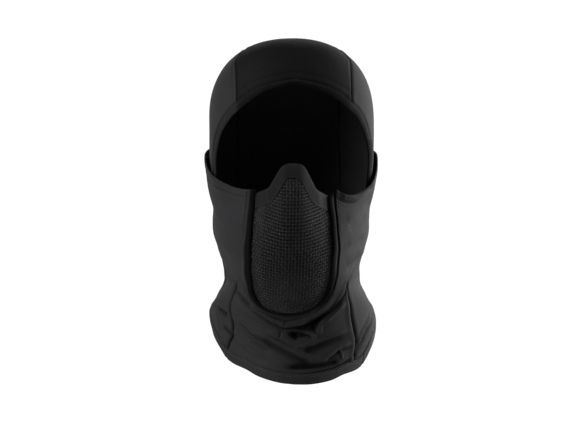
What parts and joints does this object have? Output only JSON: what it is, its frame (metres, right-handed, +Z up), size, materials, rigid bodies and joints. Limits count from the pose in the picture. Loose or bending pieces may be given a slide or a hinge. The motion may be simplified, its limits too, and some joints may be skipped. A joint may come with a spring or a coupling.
{
  "type": "mesh mask balaclava",
  "caption": "Stretch balaclava hood with a domed wire mask over nose and mouth, cheek covers over the ears and a flared neck collar.",
  "frame": {"origin": "the point inside the crown where the top of the head touches", "axes": "+Z up, the face looks along -Y, the wearer's left is at +X"},
  "size_m": [0.1653, 0.2337, 0.3279],
  "materials": {
    "hood_fabric": "smooth stretch jersey with a slight sheen",
    "hem_fabric": "folded double jersey with twin rows of stitching",
    "wire": "satin black painted steel wire",
    "binding_tape": "ribbed woven tape"
  },
  "bodies": {
    "root": {"crown_panel": "hood_fabric", "face_opening_hem": "hem_fabric", "hood_side_right": "hood_fabric", "hood_side_left": "hood_fabric", "cheek_panel_right": "hood_fabric", "cheek_panel_left": "hood_fabric", "cheek_hem_right": "hem_fabric", "cheek_hem_left": "hem_fabric", "neck_panel_right": "hood_fabric", "neck_panel_left": "hood_fabric", "front_bib": "hood_fabric", "collar_hem": "hem_fabric", "mask_opening_hem": "hem_fabric", "wire_mesh": "wire", "mask_binding": "binding_tape"}
  },
  "joints": []
}
